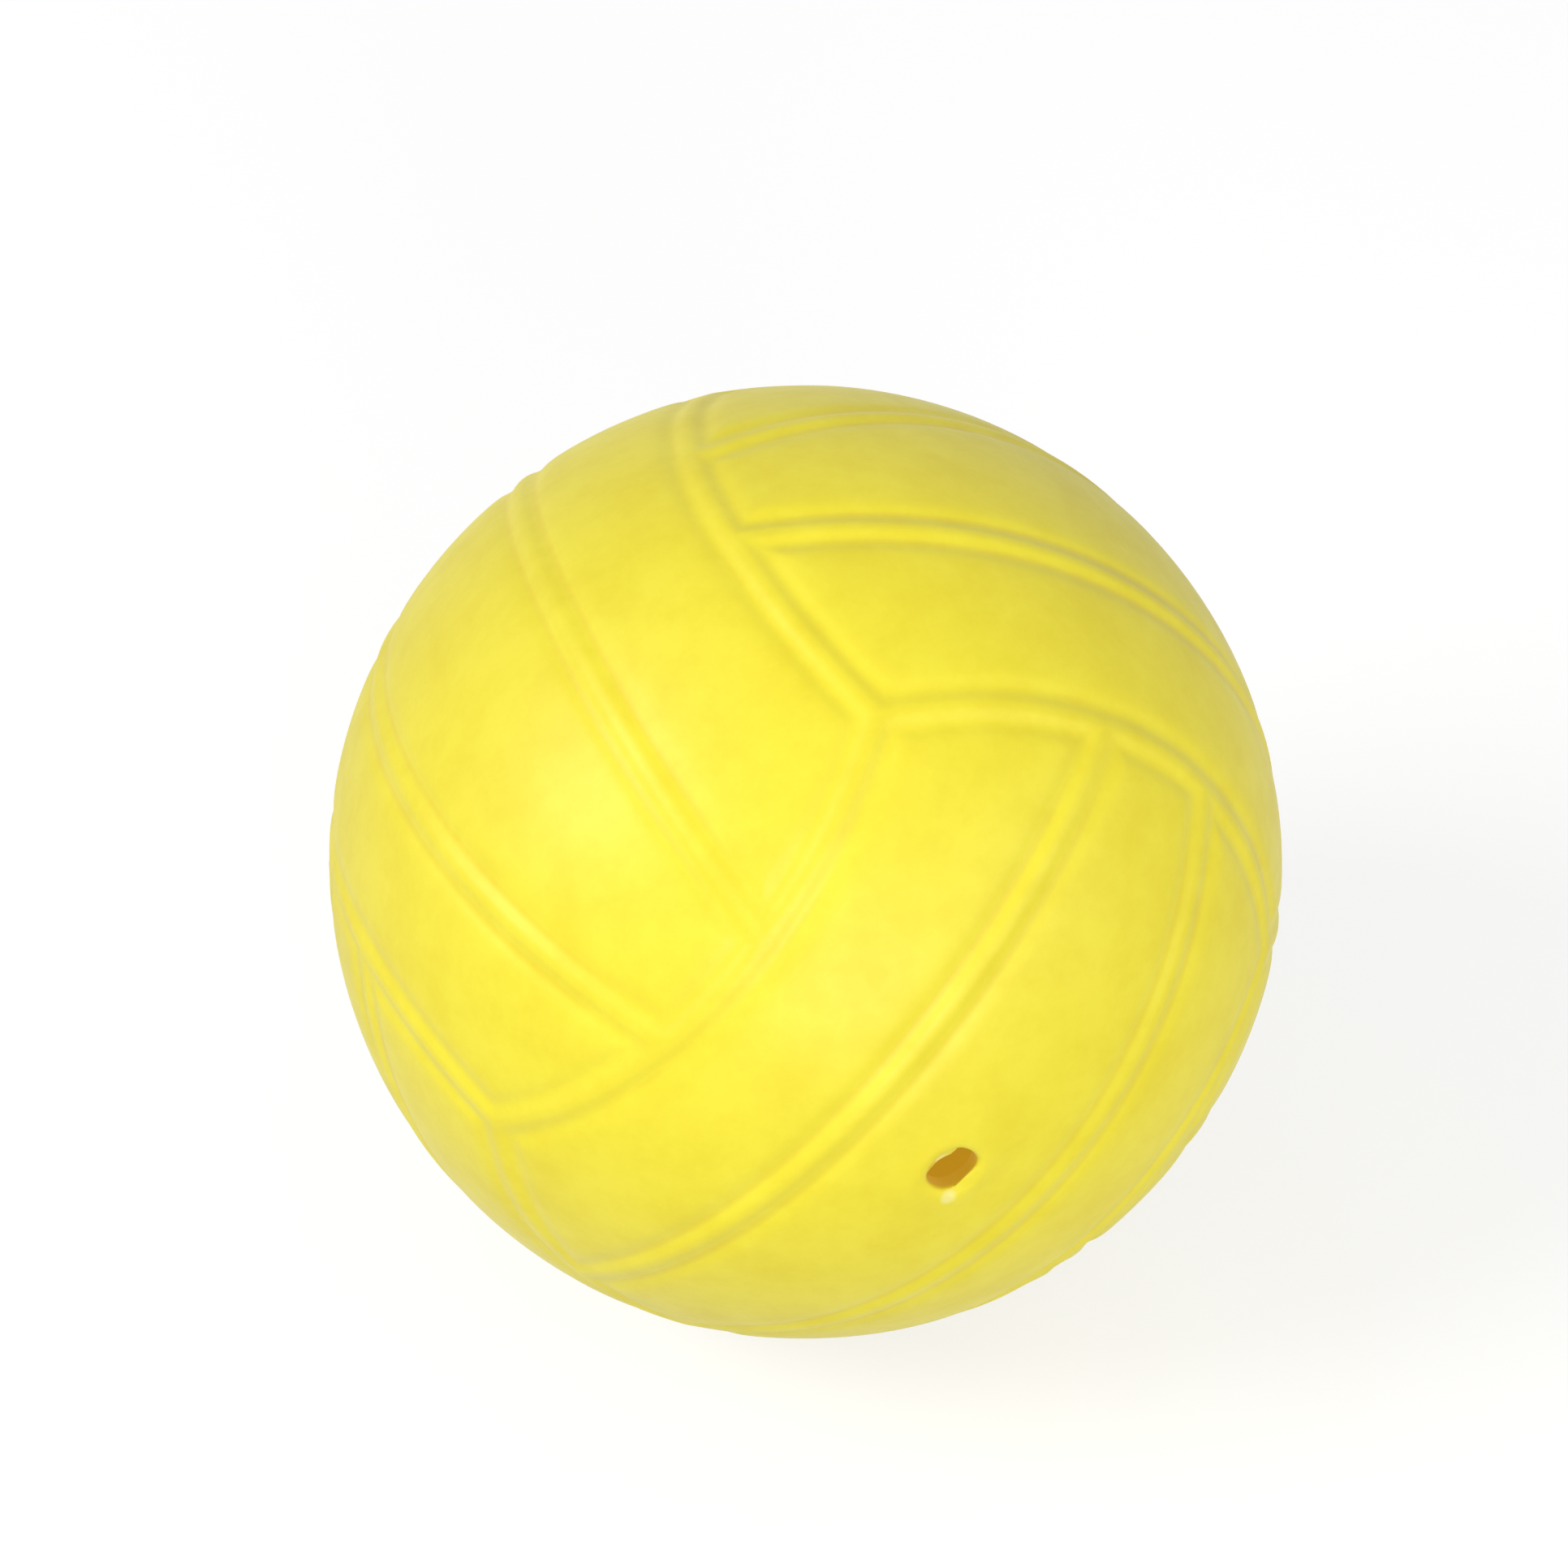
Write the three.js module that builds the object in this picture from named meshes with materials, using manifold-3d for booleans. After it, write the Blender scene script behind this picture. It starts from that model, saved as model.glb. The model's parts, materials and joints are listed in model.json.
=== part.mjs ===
// Soft hollow play ball: two moulded half shells, cemented rim to rim, with an open vent in the front half.
// The outside carries the relief of a volleyball: six faces of three strips, with a rib between two grooves
// along every seam.
// Millimetres. The origin is the ball's centre, -Y points out through the vent, and +Z is up.
import * as THREE from 'three';
import { mergeVertices } from 'three/addons/utils/BufferGeometryUtils.js';
import Module from 'manifold-3d';

// Driving dimensions, in millimetres and degrees
const BALL_DIAMETER = 100; // over the smooth panels
const WALL = 2.5; // thickness of the shell under a panel
const MIDDLE_STRIP_ANGLE = 28.4; // seam to seam across the middle strip of a face, seen from the centre
const PATTERN_TURN = 45; // turn of the panel pattern about the axis of the vent
const RIB_WIDTH = 1.7; // flat top of the rib that runs along every seam
const GROOVE_WIDTH = 2.2; // from the edge of the rib to the edge of the panel
const GROOVE_DEPTH = 0.6; // below the panels, and below the rib's top, which is level with them
const VENT_DIAMETER = 6; // hole that lets the air out
const VENT_BEVEL = 0.4; // softened outer edge of the vent
const CEMENT_FILM = 0.4; // thickness of the cement between the two rims
const CEMENT_BEAD = 1.6; // diameter of the bead of cement that squeezes out on the inside
const BEAD_CLEARANCE = 0.4; // between the bead and the inner wall

// Facets: a strip's half end is cut into this many cells, and round shapes into this many sides
const MIDDLE_END_CELLS = 2;
const SIDE_END_CELLS = 5;
const INNER_SIDES = 48;
const VENT_SIDES = 32;
const BEAD_SIDES = 64;
const BEAD_SECTION_SIDES = 8;

// Sizes that follow from them
const ballRadius = BALL_DIAMETER / 2;
const innerRadius = ballRadius - WALL;
const ventRadius = VENT_DIAMETER / 2;
const filmFace = CEMENT_FILM / 2;
const beadRadius = CEMENT_BEAD / 2;
const beadCentreRadius = innerRadius - BEAD_CLEARANCE - beadRadius;
const dividerAngle = THREE.MathUtils.degToRad(MIDDLE_STRIP_ANGLE / 2);
const cornerAngle = Math.asin(1 / Math.sqrt(3)); // three faces meet on the diagonal of a cube
const cutterSize = 2 * BALL_DIAMETER;
const cutterOverrun = WALL;

// Every seam has the same section: inset from its middle line, and depth below the panels
const seamSection = [
  { inset: 0, depth: 0 },
  { inset: RIB_WIDTH / 2, depth: 0 },
  { inset: RIB_WIDTH / 2 + GROOVE_WIDTH / 2, depth: GROOVE_DEPTH },
  { inset: RIB_WIDTH / 2 + GROOVE_WIDTH, depth: 0 },
];

const wasm = await Module();
wasm.setup();

// The pattern is drawn on the unit sphere, on one quarter of one face, with its strips upright.
// x runs across the strips, y along them and z out of the middle of the face.
const ACROSS = new THREE.Vector3(1, 0, 0);
const ALONG = new THREE.Vector3(0, 1, 0);
const OUT = new THREE.Vector3(0, 0, 1);

// A line on the sphere is a circle: points at one height along its pole, turned from start towards quarter
const longLine = { pole: ACROSS, start: OUT, quarter: ALONG };
const endLine = { pole: OUT, start: ALONG, quarter: ACROSS };
const dividerLine = {
  pole: new THREE.Vector3(Math.cos(dividerAngle), 0, -Math.sin(dividerAngle)),
  start: new THREE.Vector3(Math.sin(dividerAngle), 0, Math.cos(dividerAngle)),
  quarter: ALONG,
};
const middleLine = { pole: ACROSS, start: OUT, quarter: ALONG };
const waistLine = { pole: ALONG, start: OUT, quarter: ACROSS };

function pointOn(line, height, angle) {
  const reach = Math.sqrt(1 - height * height);
  return new THREE.Vector3()
    .addScaledVector(line.pole, height)
    .addScaledVector(line.start, reach * Math.cos(angle))
    .addScaledVector(line.quarter, reach * Math.sin(angle));
}

function angleOn(line, point) {
  return Math.atan2(point.dot(line.quarter), point.dot(line.start));
}

// Points of a line at its own height, from one angle to another at the given fractions
function stretch(line, height, fromAngle, toAngle, fractions) {
  return fractions.map((fraction) => pointOn(line, height, fromAngle + (toAngle - fromAngle) * fraction));
}

function evenFractions(cells) {
  return Array.from({ length: cells + 1 }, (_, i) => i / cells);
}

// Where an end line is crossed at a known place across the face
function crossing(across, out) {
  return new THREE.Vector3(across, Math.sqrt(1 - across * across - out * out), out);
}

// A divider meets the end seam in a T. The face round the corner has its long seam there, so the cells along
// a strip are spaced to put a point on that T.
const cornerTurn = Math.PI / 4;
const teeTurn = Math.asin(Math.tan(dividerAngle) / Math.SQRT2);
const alongFractions = [
  ...evenFractions(MIDDLE_END_CELLS).map((fraction) => (teeTurn * fraction) / cornerTurn),
  ...evenFractions(SIDE_END_CELLS)
    .slice(1)
    .map((fraction) => (teeTurn + (cornerTurn - teeTurn) * fraction) / cornerTurn),
];

// The sides of half a middle strip, inset by an angle: left is the middle of the strip, right its divider
function middleStripSides(inset) {
  const endHeight = Math.sin(cornerAngle + inset);
  const dividerHeight = -Math.sin(inset);
  const across = (dividerHeight + endHeight * Math.sin(dividerAngle)) / Math.cos(dividerAngle);
  const corner = crossing(across, endHeight);
  return {
    left: stretch(middleLine, 0, 0, angleOn(middleLine, crossing(0, endHeight)), alongFractions),
    top: stretch(endLine, endHeight, 0, angleOn(endLine, corner), evenFractions(MIDDLE_END_CELLS)),
    right: stretch(dividerLine, dividerHeight, 0, angleOn(dividerLine, corner), alongFractions),
  };
}

// The sides of half a side strip, inset by an angle: left is its divider, right the long seam of the face
function sideStripSides(inset) {
  const endHeight = Math.sin(cornerAngle + inset);
  const longHeight = Math.sin(cornerAngle - inset);
  const dividerHeight = Math.sin(inset);
  const across = (dividerHeight + endHeight * Math.sin(dividerAngle)) / Math.cos(dividerAngle);
  const innerCorner = crossing(across, endHeight);
  const outerCorner = crossing(longHeight, endHeight);
  const endAngles = [angleOn(endLine, innerCorner), angleOn(endLine, outerCorner)];
  return {
    left: stretch(dividerLine, dividerHeight, 0, angleOn(dividerLine, innerCorner), alongFractions),
    top: stretch(endLine, endHeight, ...endAngles, evenFractions(SIDE_END_CELLS)),
    right: stretch(longLine, longHeight, 0, angleOn(longLine, outerCorner), alongFractions),
  };
}

// The seams round a half strip as one run of points: up its left seam if it has one, over and down its right
function seamRun(sides, hasLeftSeam) {
  const over = hasLeftSeam ? [...sides.left, ...sides.top.slice(1)] : sides.top;
  return [...over, ...sides.right.slice(0, -1).reverse()];
}

// The smooth field inside the seams: a grid blended from its four sides and laid on the sphere
function fieldGrid(sides, acrossFractions) {
  const waistAngles = [angleOn(waistLine, sides.left[0]), angleOn(waistLine, sides.right[0])];
  const bottom = stretch(waistLine, 0, ...waistAngles, acrossFractions);
  const rows = sides.left.length;
  return sides.left.map((leftPoint, row) => {
    const up = row / (rows - 1);
    return acrossFractions.map((right, column) => {
      const blend = new THREE.Vector3()
        .addScaledVector(leftPoint, 1 - right)
        .addScaledVector(sides.right[row], right)
        .addScaledVector(bottom[column], 1 - up)
        .addScaledVector(sides.top[column], up)
        .addScaledVector(bottom[0], -(1 - right) * (1 - up))
        .addScaledVector(bottom.at(-1), -right * (1 - up))
        .addScaledVector(sides.top[0], -(1 - right) * up)
        .addScaledVector(sides.top.at(-1), -right * up);
      return blend.normalize();
    });
  });
}

// Triangles of one half strip, as points at their real distance from the centre, seen from outside
function stripTriangles(sidesAt, hasLeftSeam, endCells) {
  const triangles = [];
  const addQuad = (a, b, c, d) => triangles.push([a, b, c], [a, c, d]);
  const rings = seamSection.map(({ inset, depth }) => {
    const run = seamRun(sidesAt(inset / ballRadius), hasLeftSeam);
    return run.map((point) => point.multiplyScalar(ballRadius - depth));
  });
  for (let band = 0; band + 1 < rings.length; band += 1) {
    const outer = rings[band];
    const inner = rings[band + 1];
    for (let i = 0; i + 1 < outer.length; i += 1) {
      addQuad(outer[i], inner[i], inner[i + 1], outer[i + 1]);
    }
  }
  const field = fieldGrid(sidesAt(seamSection.at(-1).inset / ballRadius), evenFractions(endCells));
  field.flat().forEach((point) => point.multiplyScalar(ballRadius));
  for (let row = 0; row + 1 < field.length; row += 1) {
    for (let column = 0; column < endCells; column += 1) {
      const near = field[row];
      const far = field[row + 1];
      addQuad(near[column], near[column + 1], far[column + 1], far[column]);
    }
  }
  return triangles;
}

// The whole outside: the quarter face is repeated by the cube's three turns and the eight mirror images
function ballSurface() {
  const quarter = [
    ...stripTriangles(middleStripSides, false, MIDDLE_END_CELLS),
    ...stripTriangles(sideStripSides, true, SIDE_END_CELLS),
  ];
  const faceTurns = [
    (p) => [p.x, p.z, p.y],
    (p) => [p.y, p.x, p.z],
    (p) => [p.z, p.y, p.x],
  ];
  const positions = [];
  for (const turn of faceTurns) {
    for (const sx of [1, -1]) {
      for (const sy of [1, -1]) {
        for (const sz of [1, -1]) {
          const mirrored = sx * sy * sz > 0; // each turn above swaps two axes, so it is a mirror image itself
          for (const [a, b, c] of quarter) {
            const corners = mirrored ? [a, c, b] : [a, b, c];
            for (const [x, y, z] of corners.map(turn)) {
              positions.push(sx * x, sy * y, sz * z);
            }
          }
        }
      }
    }
  }
  const geometry = new THREE.BufferGeometry();
  geometry.setAttribute('position', new THREE.Float32BufferAttribute(positions, 3));
  return geometry.rotateY(THREE.MathUtils.degToRad(PATTERN_TURN));
}

function solidOf(geometry) {
  geometry.deleteAttribute('normal');
  geometry.deleteAttribute('uv');
  const merged = mergeVertices(geometry);
  return new wasm.Manifold(
    new wasm.Mesh({
      numProp: 3,
      vertProperties: new Float32Array(merged.attributes.position.array),
      triVerts: new Uint32Array(merged.index.array),
    }),
  );
}

// A block that covers everything in front of (-1) or behind (1) one face of the cement film
function halfSpace(side) {
  const block = new THREE.BoxGeometry(cutterSize, cutterSize, cutterSize);
  return solidOf(block.translate(0, side * (filmFace + cutterSize / 2), 0));
}

// The vent's drill: straight through the wall, flared where it leaves the skin
function ventCutter() {
  const profile = [
    new THREE.Vector2(0, cutterOverrun - innerRadius),
    new THREE.Vector2(ventRadius, cutterOverrun - innerRadius),
    new THREE.Vector2(ventRadius, VENT_BEVEL - ballRadius),
    new THREE.Vector2(ventRadius + VENT_BEVEL + cutterOverrun, -ballRadius - cutterOverrun),
    new THREE.Vector2(0, -ballRadius - cutterOverrun),
  ];
  return solidOf(new THREE.LatheGeometry(profile.reverse(), VENT_SIDES));
}

const outside = solidOf(ballSurface());
const airSpace = solidOf(new THREE.SphereGeometry(innerRadius, INNER_SIDES, INNER_SIDES / 2));

function frontHalfShell() {
  return outside.intersect(halfSpace(-1)).subtract(airSpace).subtract(ventCutter());
}

function backHalfShell() {
  return outside.intersect(halfSpace(1)).subtract(airSpace);
}

// The cement fills the joint out to the skin, and stands in a round bead on the inside
function cementRing() {
  const slab = solidOf(new THREE.BoxGeometry(cutterSize, CEMENT_FILM, cutterSize));
  const bore = new THREE.CylinderGeometry(beadCentreRadius, beadCentreRadius, BALL_DIAMETER, BEAD_SIDES);
  const bead = new THREE.TorusGeometry(beadCentreRadius, beadRadius, BEAD_SECTION_SIDES, BEAD_SIDES);
  return outside.intersect(slab).subtract(solidOf(bore)).add(solidOf(bead.rotateX(Math.PI / 2)));
}

const softRubber = { color: 0xf2e03c, roughness: 0.55, metalness: 0 };
const rubberCement = { color: 0xe3c24a, roughness: 0.4, metalness: 0 };

function namedMesh(name, solid, finish) {
  const { numProp, vertProperties, triVerts } = solid.getMesh();
  const geometry = new THREE.BufferGeometry();
  const vertices = new THREE.InterleavedBuffer(vertProperties, numProp);
  geometry.setAttribute('position', new THREE.InterleavedBufferAttribute(vertices, 3, 0));
  geometry.setIndex(new THREE.BufferAttribute(triVerts, 1));
  const faceted = geometry.toNonIndexed();
  faceted.computeVertexNormals();
  const mesh = new THREE.Mesh(faceted, new THREE.MeshStandardMaterial(finish));
  mesh.name = name;
  return mesh;
}

const ball = new THREE.Group();
ball.add(
  namedMesh('front_half_shell', frontHalfShell(), softRubber),
  namedMesh('back_half_shell', backHalfShell(), softRubber),
  namedMesh('cement_ring', cementRing(), rubberCement),
);

export default ball;
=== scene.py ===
"""A soft hollow play ball of moulded rubber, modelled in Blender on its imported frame.

Each strip of the pattern is outlined along its seams and filled with a grid, its seams are pressed in, and
eighteen strips are joined into the skin. The skin is parted into two half shells that cement holds together.
Lengths are in metres. The origin is the ball's centre, -Y points out through the vent, and +Z is up.
"""
import json
import math

import bmesh
import bpy
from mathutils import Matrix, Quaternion, Vector

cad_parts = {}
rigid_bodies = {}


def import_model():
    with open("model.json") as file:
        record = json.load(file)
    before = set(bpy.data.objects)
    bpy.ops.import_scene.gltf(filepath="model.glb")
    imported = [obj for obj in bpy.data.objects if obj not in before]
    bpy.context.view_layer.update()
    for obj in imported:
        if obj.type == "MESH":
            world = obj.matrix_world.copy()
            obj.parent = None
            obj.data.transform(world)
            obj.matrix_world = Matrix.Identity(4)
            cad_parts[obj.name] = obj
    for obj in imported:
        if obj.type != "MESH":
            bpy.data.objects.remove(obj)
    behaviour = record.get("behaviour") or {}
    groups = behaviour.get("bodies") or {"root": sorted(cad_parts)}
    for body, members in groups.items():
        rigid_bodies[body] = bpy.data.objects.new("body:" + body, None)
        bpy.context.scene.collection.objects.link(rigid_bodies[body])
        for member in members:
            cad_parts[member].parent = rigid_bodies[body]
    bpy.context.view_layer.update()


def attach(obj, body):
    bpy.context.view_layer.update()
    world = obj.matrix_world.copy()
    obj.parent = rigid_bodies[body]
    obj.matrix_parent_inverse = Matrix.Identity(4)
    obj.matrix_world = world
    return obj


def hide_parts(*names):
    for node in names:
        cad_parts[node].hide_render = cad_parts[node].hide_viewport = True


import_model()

bl_info = {
    "name": "Soft Play Ball",
    "version": (1, 0, 0),
    "blender": (4, 5, 0),
    "location": "3D View > Sidebar > Play Ball",
    "description": "Models a soft hollow play ball with a volleyball pattern and its studio",
    "category": "Add Mesh",
}

CENTRE = Vector((0.0, 0.0, 0.0))
FRONT = Vector((0.0, -1.0, 0.0))
ALONG_VENT = (math.pi / 2, 0.0, 0.0)  # turn that lays the axis of a new primitive along the vent's

# Slack in metres: for one point, for one point of two strips, for lying on a plane, and for an exact match
POINT_SLACK = 1e-5
STRIP_SLACK = 2e-5
PLANE_SLACK = 1e-6
EXACT_SLACK = 1e-7


def from_hex(code):
    """An sRGB hex colour as linear red, green, blue and alpha."""
    parts = [int(code[i:i + 2], 16) / 255 for i in (1, 3, 5)]
    linear = [c / 12.92 if c <= 0.04045 else ((c + 0.055) / 1.055) ** 2.4 for c in parts]
    return (*linear, 1.0)


def length(name, description, default):
    """A length in metres that the sidebar shows with its unit."""
    return bpy.props.FloatProperty(
        name=name, description=description, default=default, min=0.0, precision=5, unit="LENGTH"
    )


def angle(name, description, degrees):
    """An angle that the sidebar shows in degrees."""
    return bpy.props.FloatProperty(
        name=name, description=description, default=math.radians(degrees), unit="ROTATION"
    )


def colour(name, description, code):
    """A surface colour, written as sRGB hex."""
    return bpy.props.FloatVectorProperty(
        name=name, description=description, default=from_hex(code), size=4, min=0.0, max=1.0, subtype="COLOR"
    )


class BallSizes(bpy.types.PropertyGroup):
    """Sizes of the ball. The seams are shallower and the vent narrower than in the faceted solids."""

    radius: length("Radius", "From the centre to the smooth panels", 0.05)
    wall: length("Wall", "Thickness of the shell under a panel", 0.0025)
    middle_strip: angle("Middle strip", "Seam to seam across a middle strip, seen from the centre", 28.4)
    pattern_turn: angle("Pattern turn", "Turn of the pattern about the axis of the vent", 45.0)
    rib_width: length("Rib width", "Top of the rib along a seam", 0.0017)
    groove_width: length("Groove width", "From the edge of the rib to the edge of the panel", 0.0022)
    groove_depth: length("Groove depth", "Below the panels and the top of the rib", 0.00045)
    vent_radius: length("Vent radius", "Clear opening of the air vent", 0.0026)
    film: length("Cement film", "Thickness of the cement between the rims", 0.0004)
    bead: length("Cement bead", "Radius of the bead of cement on the inside", 0.0008)
    bead_gap: length("Bead clearance", "Between the bead and the inner wall", 0.0004)


class BallColours(bpy.types.PropertyGroup):
    """Colours of the ball and of the studio."""

    panel: colour("Rubber", "Lemon yellow of the moulded skin", "#F7E832")
    cloud: colour("Clouding", "The slightly deeper yellow that clouds the skin", "#F1DF27")
    # Painted highlight: pale spots by the vent that stand in for glints of light on its lip and ledge
    painted_highlight: colour("Rubbed spot", "Paler rubber where the vent was trimmed", "#FAEF84")
    # Painted light: the amber inside and its glow stand in for light that bounces in the hollow and comes
    # through the thin wall
    inside: colour("Inside", "Amber of the wall seen through the vent", "#A8781A")
    glow: colour("Glow inside", "Daylight that comes through the thin wall", "#93791A")
    floor: colour("Floor", "White studio floor", "#A8A8A8")


class StudioView(bpy.types.PropertyGroup):
    """Where the camera stands."""

    azimuth: angle("Azimuth", "Round the ball from the front", -15.2)
    elevation: angle("Elevation", "Above the floor", 39.6)
    roll: angle("Roll", "Turn of the camera about its own axis", -2.6)
    distance: length("Distance", "From the ball's centre to the camera", 0.49)
    aim_left: length("Aim left", "How far left of the ball's centre the camera aims", 0.0019)
    aim_up: length("Aim up", "How far above the ball's centre the camera aims", 0.0082)
    lens: bpy.props.FloatProperty(
        name="Focal length", description="Of the lens, in millimetres", default=107.0, unit="CAMERA"
    )


# Materials

CLOUD_SIZE = 0.007  # metres across a cloud of filler in the skin
# Depths in metres between which the painted glow sets in: yellow turns to amber and the rubber emits light,
# in place of the light inside the hollow. Only the bottoms of the grooves reach the first
AMBER_FROM = 0.0005
AMBER_TO = 0.001
# Painted highlights by the vent, pale spots in place of glints of light: a point below it and one on its
# ledge, each with its reach
PAINTED_HIGHLIGHT_SPOTS = (((-0.00055, -0.0497, -0.0035), 0.001), ((-0.00095, -0.0491, 0.00165), 0.0009))
# Colour sockets of a Mix node, because its other sockets share their names
MIX_A = 6
MIX_B = 7
MIX_RESULT = 2


def add_node(tree, kind, settings=None, links=None):
    """Adds a node, sets its properties and sockets, and links sockets of other nodes into it."""
    node = tree.nodes.new(kind)
    for name, value in (settings or {}).items():
        if isinstance(name, int) or name in node.inputs:
            node.inputs[name].default_value = value
        else:
            setattr(node, name, value)
    for name, socket in (links or {}).items():
        tree.links.new(socket, node.inputs[name])
    return node


def new_material(name, preview):
    """A material and its emptied node tree. The preview is the colour that a plain viewport shows."""
    material = bpy.data.materials.new(name)
    material.use_nodes = True
    material.diffuse_color = preview
    material.node_tree.nodes.clear()
    return material, material.node_tree


def painted_glow_fade(tree, place):
    """Mask of the painted glow inside the wall: 0 on the skin and 1 inside the shell, from the distance to
    the ball's centre.
    """
    radius = bpy.context.scene.ball_sizes.radius
    reach = add_node(tree, "ShaderNodeVectorMath", {"operation": "LENGTH"}, {0: place})
    fade = add_node(
        tree,
        "ShaderNodeMapRange",
        {"From Min": radius - AMBER_FROM, "From Max": radius - AMBER_TO},
        {"Value": reach.outputs["Value"]},
    )
    return fade.outputs["Result"]


def yellow_rubber(name, lump_size, lump_height):
    """Filled rubber, dull and powdery. Inside the wall it is painted amber and glows, in place of the
    daylight through the thin wall and the light bouncing in the hollow; pale spots by the vent are painted
    highlights.
    """
    tints = bpy.context.scene.ball_colours
    material, tree = new_material(name, tints.panel)
    place = add_node(tree, "ShaderNodeTexCoord").outputs["Object"]
    clouds = add_node(
        tree,
        "ShaderNodeTexNoise",
        {"Scale": 1 / CLOUD_SIZE, "Detail": 5.0, "Roughness": 0.7},
        {"Vector": place},
    )
    clouding = add_node(
        tree, "ShaderNodeMapRange", {"From Min": 0.38, "From Max": 0.66}, {"Value": clouds.outputs["Fac"]}
    )
    skin = add_node(
        tree,
        "ShaderNodeMix",
        {"data_type": "RGBA", MIX_A: tints.panel, MIX_B: tints.cloud},
        {"Factor": clouding.outputs["Result"]},
    )
    # Painted glow: deeper in the wall the colour turns amber and the rubber emits, in place of light inside
    # the hollow
    painted_glow_depth = painted_glow_fade(tree, place)
    amber = add_node(
        tree,
        "ShaderNodeMix",
        {"data_type": "RGBA", MIX_B: tints.inside},
        {"Factor": painted_glow_depth, MIX_A: skin.outputs[MIX_RESULT]},
    )
    base = amber.outputs[MIX_RESULT]
    # Painted highlights: the two pale spots by the vent
    for spot, reach in PAINTED_HIGHLIGHT_SPOTS:
        away = add_node(tree, "ShaderNodeVectorMath", {"operation": "DISTANCE", 1: spot}, {0: place})
        painted_highlight_mask = add_node(
            tree,
            "ShaderNodeMapRange",
            {"From Min": reach, "From Max": reach / 2},
            {"Value": away.outputs["Value"]},
        )
        painted_highlight = add_node(
            tree,
            "ShaderNodeMix",
            {"data_type": "RGBA", MIX_B: tints.painted_highlight},
            {"Factor": painted_highlight_mask.outputs["Result"], MIX_A: base},
        )
        base = painted_highlight.outputs[MIX_RESULT]
    lumps = add_node(
        tree, "ShaderNodeTexNoise", {"Scale": 1 / lump_size, "Detail": 3.0}, {"Vector": place}
    )
    bump = add_node(
        tree, "ShaderNodeBump", {"Strength": 1.0, "Distance": lump_height}, {"Height": lumps.outputs["Fac"]}
    )
    dullness = add_node(
        tree, "ShaderNodeMapRange", {"To Min": 0.42, "To Max": 0.56}, {"Value": clouds.outputs["Fac"]}
    )
    shader = add_node(
        tree,
        "ShaderNodeBsdfPrincipled",
        {"IOR": 1.5, "Sheen Weight": 0.12, "Sheen Roughness": 0.5, "Emission Color": tints.glow},
        {
            "Base Color": base,
            "Roughness": dullness.outputs["Result"],
            "Normal": bump.outputs["Normal"],
            "Emission Strength": painted_glow_depth,
        },
    )
    add_node(tree, "ShaderNodeOutputMaterial", links={"Surface": shader.outputs["BSDF"]})
    return material


def moulded_rubber():
    """Soft rubber from a satin mould: fine and even, faintly clouded by the filler. Both shells share it."""
    # The grain of a satin mould is finer than a render shows, so its lumps are drawn 0.7 mm across
    made = bpy.data.materials.get("moulded_soft_rubber")
    return made or yellow_rubber("moulded_soft_rubber", lump_size=0.0007, lump_height=0.000006)


def rubber_cement():
    """Dried rubber cement of the same yellow: the bead that was squeezed out inside is lumpy."""
    return yellow_rubber("dried_rubber_cement", lump_size=0.003, lump_height=0.00004)


def seen_directly(tree):
    """1 for a ray from the camera, a shiny surface or glass, which all see the white background."""
    path = add_node(tree, "ShaderNodeLightPath")
    seen = path.outputs["Is Camera Ray"]
    for ray in ("Is Glossy Ray", "Is Transmission Ray"):
        total = add_node(tree, "ShaderNodeMath", {"operation": "ADD"}, {0: seen, 1: path.outputs[ray]})
        seen = total.outputs["Value"]
    return seen


def painted_floor():
    """Matt board that reads white to the camera, yet sends little light back up and keeps the shadow."""
    tints = bpy.context.scene.ball_colours
    material, tree = new_material("matt_white_board", tints.floor)
    paint = add_node(tree, "ShaderNodeBsdfDiffuse", {"Color": tints.floor})
    # Far off, where the lamps don't reach, the board's own white makes up for them
    place = add_node(tree, "ShaderNodeTexCoord").outputs["Object"]
    away = add_node(tree, "ShaderNodeVectorMath", {"operation": "LENGTH"}, {0: place})
    rising = add_node(
        tree,
        "ShaderNodeMapRange",
        {"From Min": LIT_FLOOR, "From Max": UNLIT_FLOOR, "To Min": FLOOR_GLOW, "To Max": FAR_FLOOR_GLOW},
        {"Value": away.outputs["Value"]},
    )
    level = add_node(
        tree,
        "ShaderNodeMath",
        {"operation": "MULTIPLY"},
        {0: seen_directly(tree), 1: rising.outputs["Result"]},
    )
    glow = add_node(tree, "ShaderNodeEmission", links={"Strength": level.outputs["Value"]})
    both = add_node(
        tree, "ShaderNodeAddShader", links={0: paint.outputs["BSDF"], 1: glow.outputs["Emission"]}
    )
    add_node(tree, "ShaderNodeOutputMaterial", links={"Surface": both.outputs["Shader"]})
    return material


# Modelling steps


def work_on(piece):
    """Deselects everything, then selects one object and makes it active."""
    bpy.ops.object.select_all(action="DESELECT")
    piece.select_set(True)
    bpy.context.view_layer.objects.active = piece


def edit(piece, mode):
    """Opens a piece in edit mode with vertices, edges or faces to select."""
    work_on(piece)
    bpy.ops.object.mode_set(mode="EDIT")
    bpy.ops.mesh.select_mode(type=mode)


def pick(piece, mode, test):
    """In edit mode, selects just the vertices, edges or faces that pass a test."""
    bpy.ops.mesh.select_mode(type=mode)
    bpy.ops.mesh.select_all(action="DESELECT")
    shape = bmesh.from_edit_mesh(piece.data)
    parts = {"VERT": shape.verts, "EDGE": shape.edges, "FACE": shape.faces}[mode]
    for part in parts:
        if test(part):
            part.select_set(True)
    shape.select_flush_mode()
    bmesh.update_edit_mesh(piece.data)


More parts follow.
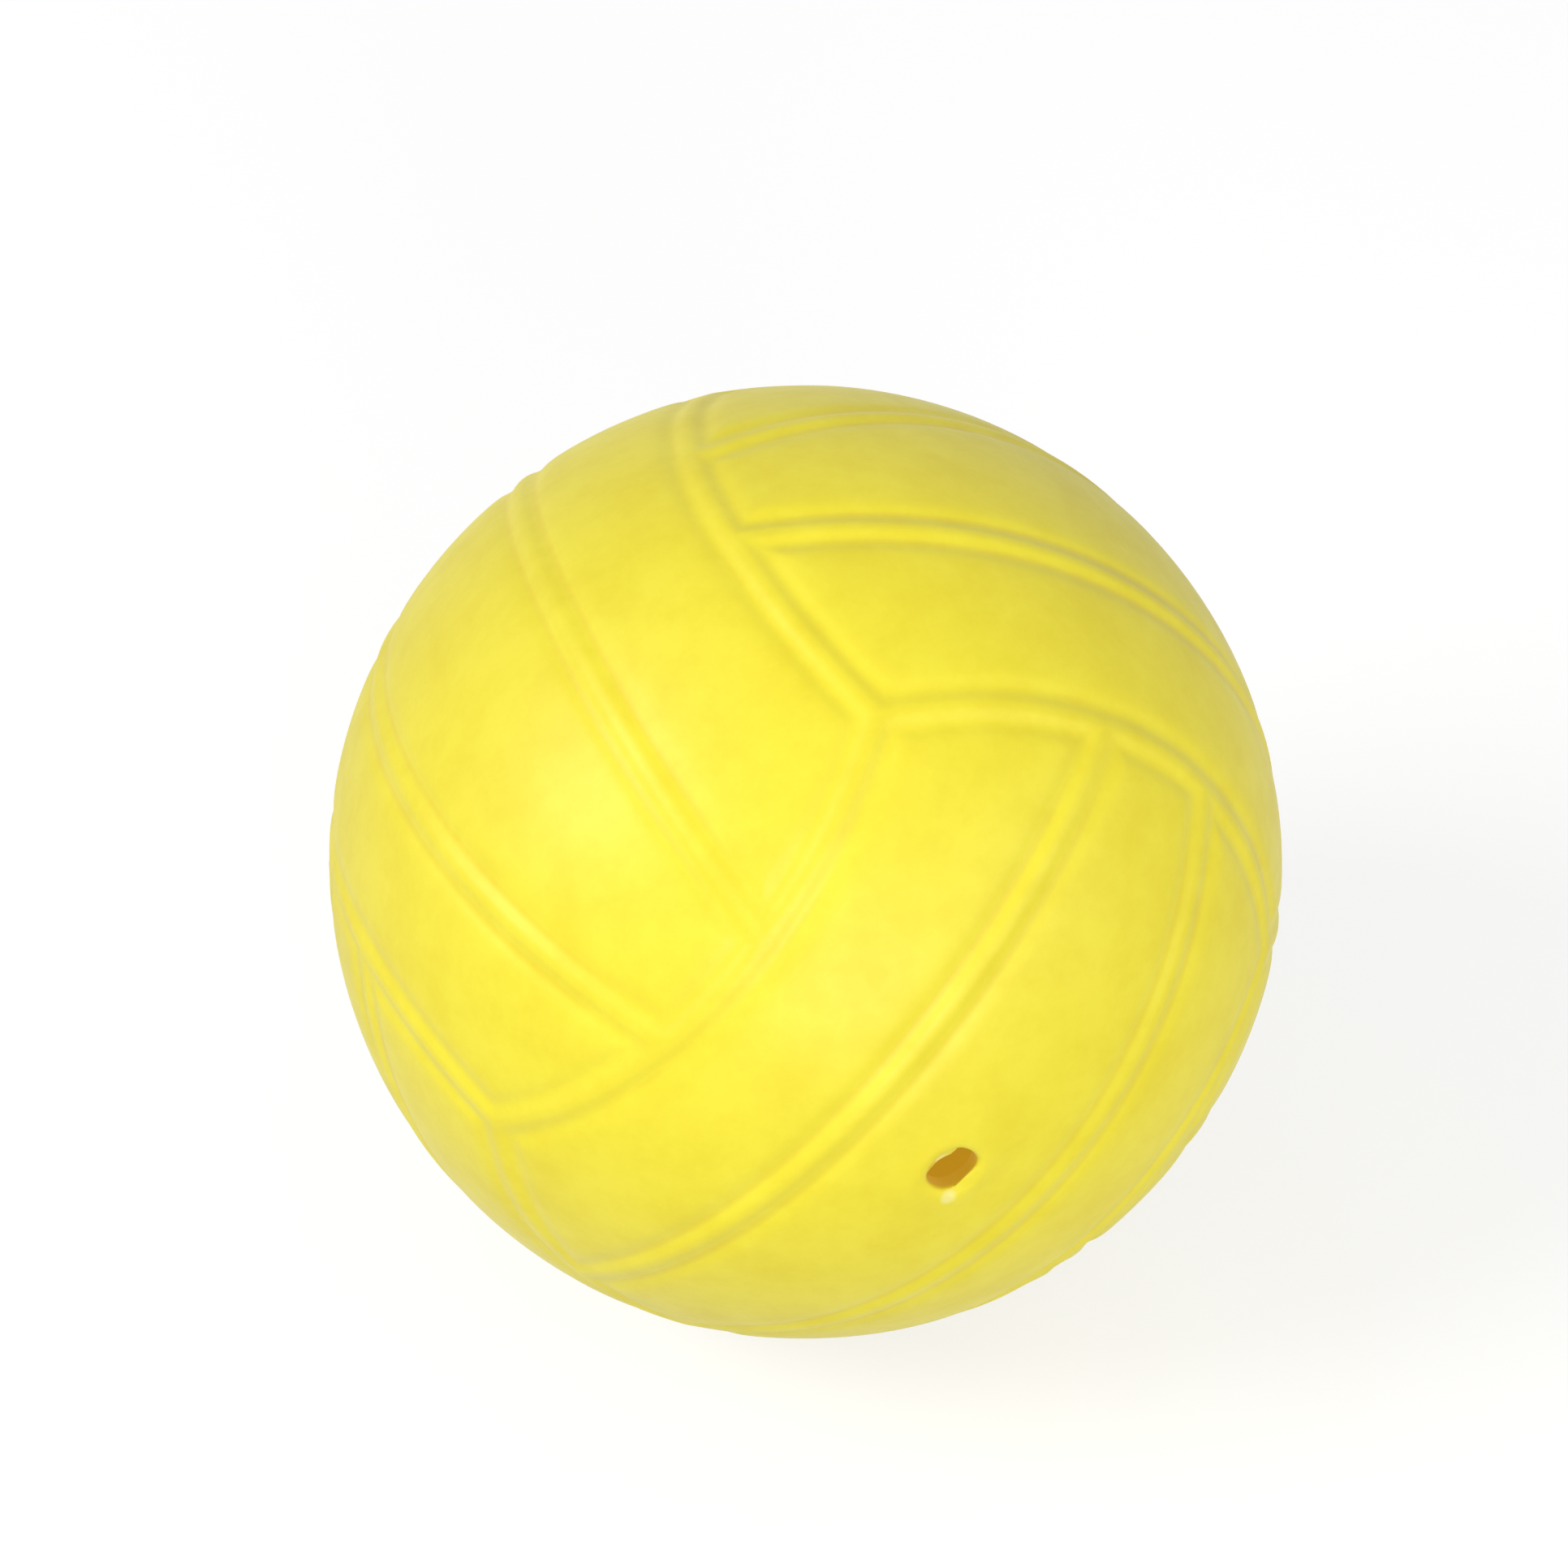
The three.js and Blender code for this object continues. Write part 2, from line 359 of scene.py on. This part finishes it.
def apply_modifier(piece, kind, **settings):
    """Adds a modifier, sets it and applies it."""
    bpy.ops.object.mode_set(mode="OBJECT")
    work_on(piece)
    modifier = piece.modifiers.new(kind.title(), kind)
    for name, value in settings.items():
        setattr(modifier, name, value)
    bpy.ops.object.modifier_apply(modifier=modifier.name)


def turn_along(axis, centre, turn, steps):
    """Draws an arc from the selected vertex, turned about an axis by the right-hand rule."""
    bpy.ops.mesh.spin(steps=steps, angle=-turn, center=centre, axis=axis)


def lay_on_ball(piece, radius, group=""):
    """Casts a piece, or one vertex group of it, onto a sphere round the centre."""
    apply_modifier(
        piece, "CAST", cast_type="SPHERE", factor=1.0, size=radius, radius=0.0,
        use_radius_as_size=False, vertex_group=group,
    )


# Rings from the middle of a seam outwards: share of half the rib, share of the groove, share of its depth
SEAM_RINGS = (
    (0.58, 0.0, 0.05),
    (1.0, 0.07, 0.48),
    (1.0, 0.44, 1.08),
    (1.0, 0.86, 0.46),
    (1.0, 1.24, 0.04),
)
CORNER_CREASE = 0.6
MIDDLE_CELLS = 2
SIDE_CELLS = 5
TEE_CELL = 0.28  # share of a side strip's end in the one cell beside the divider, where the corner is sharp
EVENING_ROUNDS = 12
SMOOTHING = 2
SHARP_ANGLE = math.radians(40.0)
INNER_SEGMENTS = 96
BEAD_SEGMENTS = 192
BEAD_SIDES = 16
VENT_SIDE = 0.8  # share of the radius, towards the front, beyond which the open loops belong to the vent


def crease_mitres(strip):
    """Creases the edges that run from the corners of the last ring to the corners of the selected field."""
    shape = bmesh.from_edit_mesh(strip.data)
    shape.faces.index_update()
    shape.edges.index_update()
    field = {face.index for face in shape.faces if face.select}
    corners = [vert for vert in shape.verts if sum(face.select for face in vert.link_faces) == 1]
    mitres = {
        edge.index
        for vert in corners
        for edge in vert.link_edges
        if not any(face.select for face in edge.link_faces)
    }
    pick(strip, "EDGE", lambda edge: edge.index in mitres)
    bpy.ops.transform.edge_crease(value=CORNER_CREASE)
    pick(strip, "FACE", lambda face: face.index in field)


def press_seams(strip, sizes):
    """Insets the strip ring by ring from its seams, and sinks or lifts what lies inside each ring."""
    edit(strip, "FACE")
    bpy.ops.mesh.select_all(action="SELECT")
    inset = 0.0
    for rib_share, groove_share, depth_share in SEAM_RINGS:
        next_inset = sizes.rib_width / 2 * rib_share + sizes.groove_width * groove_share
        bpy.ops.mesh.inset(thickness=next_inset - inset, use_even_offset=True)
        inset = next_inset
        crease_mitres(strip)
        # Even out the cells that the inset squeezed, and lay the field on a sphere of its own
        bpy.ops.mesh.select_less()
        bpy.ops.mesh.vertices_smooth(factor=0.5, repeat=EVENING_ROUNDS)
        bpy.ops.mesh.select_more()
        bpy.ops.object.vertex_group_assign_new()
        lay_on_ball(strip, sizes.radius - sizes.groove_depth * depth_share, strip.vertex_groups.active.name)
        strip.vertex_groups.clear()
        edit(strip, "FACE")
    bpy.ops.object.mode_set(mode="OBJECT")


def outline_strip(name, corner, arcs, rails, sizes):
    """Draws a strip's outline as arcs from one corner, and fills it with a grid between its two rails."""
    bpy.ops.object.select_all(action="DESELECT")
    bpy.ops.mesh.primitive_plane_add(size=sizes.groove_width, location=corner)
    strip = bpy.context.object
    strip.name = name
    bpy.ops.object.transform_apply()
    edit(strip, "VERT")
    bpy.ops.mesh.select_all(action="SELECT")
    bpy.ops.mesh.merge(type="CENTER")
    for axis, centre, turn, steps in arcs:
        turn_along(axis, centre, turn, steps)
    bpy.ops.mesh.select_all(action="SELECT")
    bpy.ops.mesh.remove_doubles(threshold=POINT_SLACK)

    def on_a_rail(edge):
        return any(all(abs(rail(v.co)) < POINT_SLACK for v in edge.verts) for rail in rails)

    pick(strip, "EDGE", on_a_rail)
    bpy.ops.mesh.fill_grid()
    bpy.ops.mesh.select_all(action="SELECT")
    bpy.ops.mesh.normals_make_consistent(inside=False)
    lay_on_ball(strip, sizes.radius)
    press_seams(strip, sizes)
    return strip


def side_arcs(axis, centre, turn, from_corner):
    """The arcs of a side strip's end, between the corner of three faces and a divider."""
    narrow = (axis, centre, turn * (1 - TEE_CELL), SIDE_CELLS - 1)
    wide = (axis, centre, turn * TEE_CELL, 1)
    return [narrow, wide] if from_corner else [wide, narrow]


def strips_of_a_face(sizes):
    """A middle strip and the two side strips of the face that looks along +Z, its strips along Y."""
    half_width = sizes.middle_strip / 2
    edge = sizes.radius / math.sqrt(3)
    tee_x = edge * math.tan(half_width)
    tee_y = math.sqrt(sizes.radius ** 2 - edge ** 2 - tee_x ** 2)
    tee_turn = math.asin(tee_x / math.hypot(edge, edge))
    side_turn = math.pi / 4 - tee_turn
    end_turn = math.atan2(tee_y, tee_x) - math.pi / 4
    long_turn = 2 * math.atan2(tee_y, math.hypot(edge, tee_x))
    end_centre = (0.0, 0.0, edge)
    long_centre = (edge, 0.0, 0.0)
    right_pole = (math.cos(half_width), 0.0, -math.sin(half_width))
    left_pole = (math.cos(half_width), 0.0, math.sin(half_width))
    along = 2 * (SIDE_CELLS + MIDDLE_CELLS)

    def right_divider(co):
        return co.x - co.z * math.tan(half_width)

    def left_divider(co):
        return co.x + co.z * math.tan(half_width)

    def long_seam(co):
        return co.x - edge

    side = outline_strip(
        "side_strip",
        (edge, -edge, edge),
        [
            *side_arcs((1, 0, 0), long_centre, -side_turn, True),
            ((1, 0, 0), long_centre, -2 * tee_turn, 2 * MIDDLE_CELLS),
            *side_arcs((1, 0, 0), long_centre, -side_turn, False),
            *side_arcs((0, 0, 1), end_centre, end_turn, True),
            (right_pole, CENTRE, long_turn, along),
            *side_arcs((0, 0, 1), end_centre, end_turn, False),
        ],
        [right_divider, long_seam],
        sizes,
    )
    middle = outline_strip(
        "middle_strip",
        (tee_x, -tee_y, edge),
        [
            (right_pole, CENTRE, -long_turn, along),
            ((0, 0, 1), end_centre, math.pi - 2 * math.atan2(tee_y, tee_x), 2 * MIDDLE_CELLS),
            (left_pole, CENTRE, long_turn, along),
            ((0, 0, 1), end_centre, math.pi - 2 * math.atan2(tee_y, tee_x), 2 * MIDDLE_CELLS),
        ],
        [right_divider, left_divider],
        sizes,
    )
    other_side = copied(side, (0.0, 0.0, math.pi))
    return joined([middle, side, other_side], "face_of_three_strips")


def copied(piece, turn):
    """A copy with its own mesh, turned about the centre."""
    work_on(piece)
    bpy.ops.object.duplicate()
    twin = bpy.context.object
    twin.rotation_euler = turn
    return twin


def joined(parts, name):
    """Joins pieces into the first one, merges what they share and turns the faces outwards."""
    bpy.ops.object.select_all(action="DESELECT")
    for part in parts:
        part.select_set(True)
    bpy.context.view_layer.objects.active = parts[0]
    bpy.ops.object.join()
    piece = parts[0]
    piece.name = name
    edit(piece, "VERT")
    bpy.ops.mesh.select_all(action="SELECT")
    bpy.ops.mesh.remove_doubles(threshold=STRIP_SLACK)
    bpy.ops.mesh.normals_make_consistent(inside=False)
    bpy.ops.object.mode_set(mode="OBJECT")
    return piece


def patterned_skin(sizes, with_vent):
    """The whole outside of the ball with its seams, and with the wall of the vent where it is asked for."""
    first = strips_of_a_face(sizes)
    quarter = math.pi / 2
    # The first face itself goes to the front, and these turns bring its copies to the other five sides
    turns = (
        (-quarter, 0.0, 0.0),
        (0.0, quarter, 0.0),
        (0.0, -quarter, 0.0),
        (0.0, 0.0, quarter),
        (math.pi, 0.0, quarter),
    )
    faces = [copied(first, turn) for turn in turns]
    first.rotation_euler = (quarter, 0.0, 0.0)
    work_on(first)
    bpy.ops.object.transform_apply()
    skin = joined([first, *faces], "skin")
    skin.rotation_euler = (0.0, sizes.pattern_turn, 0.0)
    work_on(skin)
    bpy.ops.object.transform_apply()
    for level in range(SMOOTHING):
        if with_vent and level == SMOOTHING - 1:
            open_vent(skin, sizes)
        apply_modifier(skin, "SUBSURF", levels=1, render_levels=1)
    return skin


# Loops of the vent from the skin inwards: radius in vent radii, and distance below the skin in metres
VENT_LOOPS = (
    (1.44, 0.0),
    (1.28, 0.00004),
    (1.13, 0.00016),
    (1.03, 0.0004),
    (1.0, 0.0007),
    (1.0, 0.001),
    (1.0, 0.0013),
    (1.05, 0.0024),
)
LOOP_SHRINK = 0.975  # a smoothed ring of sixteen points settles at this share of its radius
VENT_COLLAR = 0.0008  # width of the faces that stay between the skin and the first loop
# What trimming left uneven: angle in degrees, loop in VENT_LOOPS, metres to the axis, metres deeper in
VENT_FLASH = (
    (90, 5, 0.0006, -0.0001),
    (108, 5, 0.0014, -0.0002),
    (135, 5, 0.0014, -0.0002),
    (161, 5, 0.0006, -0.0001),
    (-45, 2, 0.0007, 0.0),
    (-45, 3, 0.0012, -0.0001),
    (-45, 4, 0.0004, 0.0),
    (-22, 3, -0.0001, 0.0),
    (-68, 3, -0.0002, 0.0),
    (-90, 1, 0.0, 0.0003),
    (-90, 2, 0.0, 0.0005),
    (-90, 3, 0.0, 0.0002),
)


def open_vent(skin, sizes):
    """Opens the middle of the front strip and draws the wall of the vent inwards, loop by loop."""
    pole = FRONT * sizes.radius
    edit(skin, "VERT")
    near = min((v.co - pole).length for v in bmesh.from_edit_mesh(skin.data).verts) + PLANE_SLACK
    pick(skin, "FACE", lambda face: any((v.co - pole).length < near for v in face.verts))
    bpy.ops.mesh.select_more()
    bpy.ops.mesh.inset(thickness=VENT_COLLAR, use_even_offset=True)
    bpy.ops.mesh.delete(type="FACE")
    pick(skin, "EDGE", lambda edge: edge.is_boundary)
    bpy.ops.transform.tosphere(value=1.0, center_override=pole)
    for number, (share, sunk) in enumerate(VENT_LOOPS):
        if number:
            bpy.ops.mesh.extrude_region()
        radius = sizes.vent_radius * share
        verts = [v.co for v in bmesh.from_edit_mesh(skin.data).verts if v.select]
        spread = sum(math.hypot(co.x, co.z) for co in verts) / len(verts)
        factor = radius / LOOP_SHRINK / spread
        bpy.ops.transform.resize(value=(factor, 0.0, factor), center_override=pole)
        drop = sizes.radius - math.sqrt(sizes.radius ** 2 - radius ** 2)
        bpy.ops.transform.translate(value=(0.0, drop + sunk, 0.0))
    for degrees, number, inwards, deeper in VENT_FLASH:
        share, sunk = VENT_LOOPS[number]
        aside = Vector((math.cos(math.radians(degrees)), 0.0, math.sin(math.radians(degrees))))
        spot = pole + aside * share * sizes.vent_radius / LOOP_SHRINK - FRONT * sunk
        verts = [v.co for v in bmesh.from_edit_mesh(skin.data).verts]
        nearest = min((co - spot).length for co in verts) + EXACT_SLACK
        pick(skin, "VERT", lambda vert: (vert.co - spot).length < nearest)
        bpy.ops.transform.translate(value=-aside * inwards - FRONT * deeper)
    bpy.ops.object.mode_set(mode="OBJECT")


def cut_away(piece, height, side):
    """Keeps what lies beyond a plane across the vent's axis, on the front (-1) or the back (1)."""
    edit(piece, "VERT")
    bpy.ops.mesh.select_all(action="SELECT")
    bpy.ops.mesh.bisect(
        plane_co=(0.0, height, 0.0), plane_no=(0.0, side, 0.0), clear_inner=True, threshold=EXACT_SLACK
    )
    bpy.ops.object.mode_set(mode="OBJECT")


def close_between(piece, test):
    """Fills the flat ring between the outer and the inner open loop that pass a test."""
    pick(piece, "EDGE", lambda edge: edge.is_boundary and all(test(v.co) for v in edge.verts))
    bpy.ops.mesh.fill(use_beauty=True)


def finish_shell(piece, material, node):
    """Turns the faces outwards, smooths them, and takes the place of its CAD node."""
    edit(piece, "FACE")
    bpy.ops.mesh.select_all(action="SELECT")
    bpy.ops.mesh.normals_make_consistent(inside=False)
    bpy.ops.object.mode_set(mode="OBJECT")
    bpy.ops.object.shade_smooth_by_angle(angle=SHARP_ANGLE)
    piece.data.materials.clear()
    piece.data.materials.append(material)
    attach(piece, "root")
    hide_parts(node)


def half_shell(name, side, sizes):
    """A half shell: the patterned skin and the smooth inner wall, closed at the rim and at the vent."""
    front = side < 0
    rim = side * sizes.film / 2
    shell = patterned_skin(sizes, front)
    shell.name = name
    shell.data.name = name
    cut_away(shell, rim, side)
    inner_radius = sizes.radius - sizes.wall
    bpy.ops.object.select_all(action="DESELECT")
    bpy.ops.mesh.primitive_uv_sphere_add(
        segments=INNER_SEGMENTS, ring_count=INNER_SEGMENTS // 2, radius=inner_radius, rotation=ALONG_VENT
    )
    inner = bpy.context.object
    bpy.ops.object.transform_apply()
    cut_away(inner, rim, side)
    if front:
        pole = FRONT * inner_radius
        edit(inner, "FACE")
        pick(inner, "FACE", lambda face: any((v.co - pole).length < POINT_SLACK for v in face.verts))
        bpy.ops.mesh.delete(type="FACE")
        bpy.ops.object.mode_set(mode="OBJECT")
    bpy.ops.object.select_all(action="DESELECT")
    inner.select_set(True)
    shell.select_set(True)
    bpy.context.view_layer.objects.active = shell
    bpy.ops.object.join()
    edit(shell, "EDGE")
    close_between(shell, lambda co: abs(co.y - rim) < PLANE_SLACK)
    if front:
        close_between(shell, lambda co: co.y < -VENT_SIDE * inner_radius)
    bpy.ops.object.mode_set(mode="OBJECT")
    return shell


# Pieces


class BallOperator:
    """What the ball's operators share."""

    bl_options = {"REGISTER", "UNDO"}


class BALL_OT_front_half_shell(BallOperator, bpy.types.Operator):
    """Models the front half shell, with the vent at its pole"""

    bl_idname = "ball.front_half_shell"
    bl_label = "Front Half Shell"

    def execute(self, context):
        shell = half_shell("front_half_shell_rubber", -1, context.scene.ball_sizes)
        finish_shell(shell, moulded_rubber(), "front_half_shell")
        return {"FINISHED"}


class BALL_OT_back_half_shell(BallOperator, bpy.types.Operator):
    """Models the back half shell"""

    bl_idname = "ball.back_half_shell"
    bl_label = "Back Half Shell"

    def execute(self, context):
        shell = half_shell("back_half_shell_rubber", 1, context.scene.ball_sizes)
        finish_shell(shell, moulded_rubber(), "back_half_shell")
        return {"FINISHED"}


class BALL_OT_cement_ring(BallOperator, bpy.types.Operator):
    """Models the film of cement between the rims, and its bead on the inside"""

    bl_idname = "ball.cement_ring"
    bl_label = "Cement Ring"

    def execute(self, context):
        sizes = context.scene.ball_sizes
        film = sizes.film / 2
        bead_centre = sizes.radius - sizes.wall - sizes.bead_gap - sizes.bead
        ring = patterned_skin(sizes, False)
        ring.name = "cement_ring_dried"
        ring.data.name = ring.name
        cut_away(ring, -film, 1)
        cut_away(ring, film, -1)
        bpy.ops.object.select_all(action="DESELECT")
        bpy.ops.mesh.primitive_cylinder_add(
            vertices=INNER_SEGMENTS,
            radius=bead_centre,
            depth=sizes.film,
            end_fill_type="NOTHING",
            rotation=ALONG_VENT,
        )
        bore = bpy.context.object
        bpy.ops.object.transform_apply()
        bpy.ops.object.select_all(action="DESELECT")
        bore.select_set(True)
        ring.select_set(True)
        context.view_layer.objects.active = ring
        bpy.ops.object.join()
        edit(ring, "EDGE")
        for height in (-film, film):
            close_between(ring, lambda co: abs(co.y - height) < PLANE_SLACK)
        bpy.ops.mesh.select_all(action="DESELECT")
        bpy.ops.mesh.primitive_torus_add(
            major_radius=bead_centre,
            minor_radius=sizes.bead,
            major_segments=BEAD_SEGMENTS,
            minor_segments=BEAD_SIDES,
            rotation=ALONG_VENT,
        )
        bpy.ops.object.mode_set(mode="OBJECT")
        finish_shell(ring, rubber_cement(), "cement_ring")
        return {"FINISHED"}


# Studio

# Name, turn from the front and height in degrees, diameter in metres and power in watts of each lamp
STUDIO_LAMPS = (
    ("window_left", -85.0, 40.0, 0.7, 8.6),
    ("window_front", -5.0, 12.0, 0.6, 6.9),
    ("fill_right", 40.0, 15.0, 0.7, 2.9),
)
LAMP_DISTANCE = 1.3
WORLD_LEVEL = 0.39
FLOOR_SIZE = 40.0
FLOOR_GLOW = 0.71
FAR_FLOOR_GLOW = 0.88
# Distances from the ball, in metres, up to which the lamps light the floor well and from which hardly
LIT_FLOOR = 0.3
UNLIT_FLOOR = 2.0


def seen_from(turn, height):
    """The direction from the centre to a place, turned from the front about Z and raised above the floor."""
    return Vector((
        math.sin(turn) * math.cos(height),
        -math.cos(turn) * math.cos(height),
        math.sin(height),
    ))


def aimed(place, aim, roll=0.0):
    """The turn that points a camera or a lamp from a place at an aim."""
    back = (Vector(place) - Vector(aim)).normalized()
    return back.to_track_quat("Z", "Y") @ Quaternion((0.0, 0.0, 1.0), roll)


class BALL_OT_studio(BallOperator, bpy.types.Operator):
    """Sets up the camera, the white floor and the soft lamps"""

    bl_idname = "ball.studio"
    bl_label = "Studio"

    def execute(self, context):
        scene = context.scene
        view = scene.studio_view
        sizes = scene.ball_sizes
        scene.view_settings.view_transform = "Standard"
        towards = seen_from(view.azimuth, view.elevation)
        place = towards * view.distance
        right = Vector((math.cos(view.azimuth), math.sin(view.azimuth), 0.0))
        upward = towards.cross(right)
        aim = upward * view.aim_up - right * view.aim_left
        bpy.ops.object.camera_add(location=place)
        camera = context.object
        camera.name = "studio_camera"
        camera.rotation_mode = "QUATERNION"
        camera.rotation_quaternion = aimed(place, aim, view.roll)
        camera.data.lens = view.lens
        camera.data.sensor_width = 36.0
        camera.data.clip_start = 0.01
        scene.camera = camera

        bpy.ops.object.select_all(action="DESELECT")
        bpy.ops.mesh.primitive_plane_add(size=FLOOR_SIZE, location=(0.0, 0.0, -sizes.radius))
        floor = context.object
        floor.name = "studio_floor"
        floor.data.materials.append(painted_floor())

        for name, turn, height, size, power in STUDIO_LAMPS:
            lamp_place = seen_from(math.radians(turn), math.radians(height)) * LAMP_DISTANCE
            bpy.ops.object.light_add(type="AREA", location=lamp_place)
            lamp = context.object
            lamp.name = name
            lamp.rotation_mode = "QUATERNION"
            lamp.rotation_quaternion = aimed(lamp_place, CENTRE)
            lamp.data.shape = "DISK"
            lamp.data.size = size
            lamp.data.energy = power

        world = bpy.data.worlds.new("studio_air")
        world.use_nodes = True
        tree = world.node_tree
        tree.nodes.clear()
        level = add_node(
            tree,
            "ShaderNodeMath",
            {"operation": "MULTIPLY_ADD", 1: 1.0 - WORLD_LEVEL, 2: WORLD_LEVEL},
            {0: seen_directly(tree)},
        )
        air = add_node(
            tree,
            "ShaderNodeBackground",
            {"Color": (1.0, 1.0, 1.0, 1.0)},
            {"Strength": level.outputs["Value"]},
        )
        add_node(tree, "ShaderNodeOutputWorld", links={"Surface": air.outputs["Background"]})
        scene.world = world
        return {"FINISHED"}


# Sidebar and start


class BALL_PT_panel(bpy.types.Panel):
    """Lists the ball's sizes, colours and pieces in the sidebar"""

    bl_label = "Play Ball"
    bl_space_type = "VIEW_3D"
    bl_region_type = "UI"
    bl_category = "Play Ball"

    def draw(self, context):
        layout = self.layout
        for group in ("ball_sizes", "ball_colours", "studio_view"):
            column = layout.column()
            settings = getattr(context.scene, group)
            for name in settings.__annotations__:
                column.prop(settings, name)
        for operator in OPERATORS:
            layout.operator(operator.bl_idname)


OPERATORS = (
    BALL_OT_studio,
    BALL_OT_front_half_shell,
    BALL_OT_back_half_shell,
    BALL_OT_cement_ring,
)
CLASSES = (BallSizes, BallColours, StudioView, *OPERATORS, BALL_PT_panel)


def register():
    """Adds the classes, and hangs the settings on the scene."""
    for cls in CLASSES:
        bpy.utils.register_class(cls)
    bpy.types.Scene.ball_sizes = bpy.props.PointerProperty(type=BallSizes)
    bpy.types.Scene.ball_colours = bpy.props.PointerProperty(type=BallColours)
    bpy.types.Scene.studio_view = bpy.props.PointerProperty(type=StudioView)


def unregister():
    """Takes away what register added."""
    del bpy.types.Scene.studio_view
    del bpy.types.Scene.ball_colours
    del bpy.types.Scene.ball_sizes
    for cls in reversed(CLASSES):
        bpy.utils.unregister_class(cls)


def main():
    """Sets up the studio and models the pieces."""
    register()
    bpy.ops.ball.studio()
    bpy.ops.ball.front_half_shell()
    bpy.ops.ball.back_half_shell()
    bpy.ops.ball.cement_ring()


if __name__ == "__main__":
    main()
